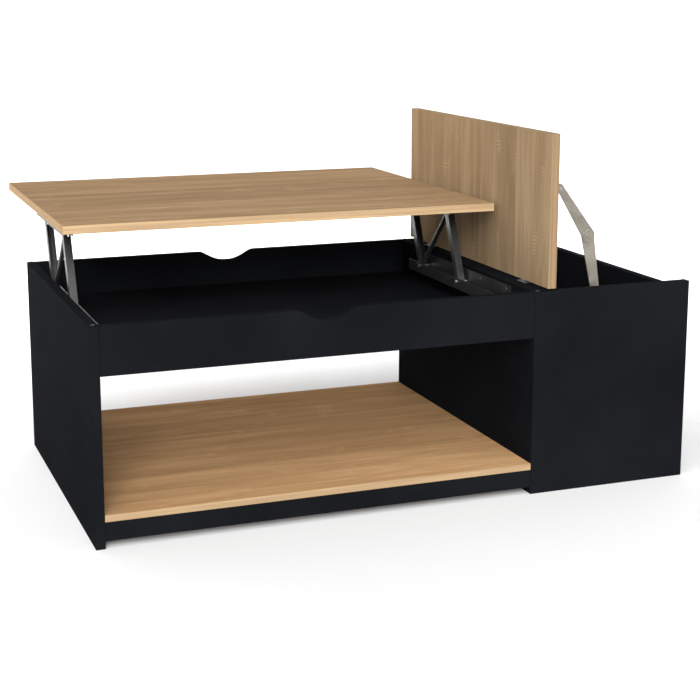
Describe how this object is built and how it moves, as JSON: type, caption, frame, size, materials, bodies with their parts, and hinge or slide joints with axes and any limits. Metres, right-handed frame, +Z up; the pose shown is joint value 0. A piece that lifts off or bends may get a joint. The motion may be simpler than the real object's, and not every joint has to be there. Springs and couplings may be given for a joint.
{
  "type": "lift top coffee table",
  "caption": "Coffee table with a lift-up oak-effect top over a tray, an open shelf below, and a bottle cabinet with a hinged lid held by a folding stay.",
  "frame": {"origin": "on the floor, at the bottom centre of the box round the whole table with its top raised and its lid open", "axes": "+X along the length towards the cabinet, +Y from the front face to the back, +Z up"},
  "size_m": [1.1, 0.8132, 0.646],
  "materials": {
    "black_board": "matt black melamine on particle board",
    "oak_board": "light oak-effect melamine with matching edge band",
    "black_steel": "black powder-coated folded steel",
    "zinc_steel": "zinc-plated steel",
    "stay_steel": "champagne-tinted plated steel strip",
    "pad": "soft black plastic rest pad"
  },
  "bodies": {
    "carcass": {"left_side_panel": "black_board", "tray_front_panel": "black_board", "tray_back_panel": "black_board", "tray_floor_panel": "black_board", "divider_panel": "black_board", "hinge_rail": "black_board", "lower_shelf": "oak_board", "plinth_front": "black_board", "plinth_back": "black_board", "cabinet_front_panel": "black_board", "cabinet_back_panel": "black_board", "cabinet_right_panel": "black_board", "cabinet_floor_panel": "black_board", "top_pad_front_left": "pad", "top_pad_back_left": "pad", "top_pad_front_right": "pad", "top_pad_back_right": "pad", "lid_pad_front": "pad", "lid_pad_back": "pad", "left_base_rail": "black_steel", "right_base_rail": "black_steel", "left_front_foot_pin": "zinc_steel", "left_rear_foot_pin": "zinc_steel", "right_front_foot_pin": "zinc_steel", "right_rear_foot_pin": "zinc_steel", "lid_hinge_leaf_front": "zinc_steel", "lid_hinge_leaf_back": "zinc_steel", "lid_hinge_pin_front": "zinc_steel", "lid_hinge_pin_back": "zinc_steel", "stay_base_plate": "stay_steel", "stay_base_pin": "zinc_steel"},
    "lift_arms_front": {"left_front_arm": "black_steel", "right_front_arm": "black_steel"},
    "lift_arms_rear": {"left_rear_arm": "black_steel", "right_rear_arm": "black_steel"},
    "lifting_top": {"lift_top": "oak_board", "left_top_rail": "black_steel", "left_rear_head_pin": "zinc_steel", "left_front_head_pin": "zinc_steel", "left_front_head_stub": "zinc_steel", "right_top_rail": "black_steel", "right_rear_head_pin": "zinc_steel", "right_front_head_pin": "zinc_steel", "right_front_head_stub": "zinc_steel"},
    "strut_rods": {"left_strut_rod": "zinc_steel", "right_strut_rod": "zinc_steel"},
    "strut_tubes": {"left_strut_tube": "black_steel", "right_strut_tube": "black_steel"},
    "lid": {"cabinet_lid": "oak_board", "lid_hinge_flap_front": "zinc_steel", "lid_hinge_flap_back": "zinc_steel", "stay_lid_bracket": "stay_steel", "stay_lid_pin": "zinc_steel"},
    "stay_lower": {"stay_lower_arm": "stay_steel", "stay_elbow_rivet": "zinc_steel"},
    "stay_upper": {"stay_upper_arm": "stay_steel"}
  },
  "joints": [
    {"name": "lift", "type": "hinge", "parent": "carcass", "child": "lift_arms_front", "pos_m": [0, -0.12561, 0.34], "axis": [1, 0, 0], "range_deg": [0, 107.25]},
    {"name": "top_levelling", "type": "hinge", "parent": "lift_arms_front", "child": "lifting_top", "pos_m": [0, -0.06848, 0.47], "axis": [1, 0, 0], "range_deg": [-107.26, 0]},
    {"name": "rear_arm_swing", "type": "hinge", "parent": "carcass", "child": "lift_arms_rear", "pos_m": [0, 0.05439, 0.34], "axis": [1, 0, 0], "range_deg": [0, 107.26]},
    {"name": "strut_swing", "type": "hinge", "parent": "carcass", "child": "strut_rods", "pos_m": [0, 0.05439, 0.34], "axis": [1, 0, 0], "range_deg": [0, 43.76]},
    {"name": "strut_travel", "type": "slide", "parent": "strut_rods", "child": "strut_tubes", "axis": [0, -0.6869, 0.7268], "range_m": [0, 0.14263]},
    {"name": "lid_hinge", "type": "hinge", "parent": "carcass", "child": "lid", "pos_m": [0.276, -0.09911, 0.372], "axis": [0, 1, 0], "range_deg": [0, 90]},
    {"name": "stay_lower_fold", "type": "hinge", "parent": "carcass", "child": "stay_lower", "pos_m": [0.374, -0.38661, 0.32], "axis": [0, 1, 0], "range_deg": [0, 119.74]},
    {"name": "stay_upper_fold", "type": "hinge", "parent": "lid", "child": "stay_upper", "pos_m": [0.29, -0.38461, 0.548], "axis": [0, 1, 0], "range_deg": [-90.13, 0]}
  ],
  "couplings": [
    {"joint": "top_levelling", "follows": "lift", "ratio": -1},
    {"joint": "rear_arm_swing", "follows": "lift", "ratio": 1},
    {"joint": "strut_swing", "follows": "lift", "ratio": 0.40803},
    {"joint": "strut_travel", "follows": "lift", "m_per_rad": 0.076187},
    {"joint": "stay_lower_fold", "follows": "lid_hinge", "ratio": 1.3305},
    {"joint": "stay_upper_fold", "follows": "lid_hinge", "ratio": -1.0014}
  ]
}
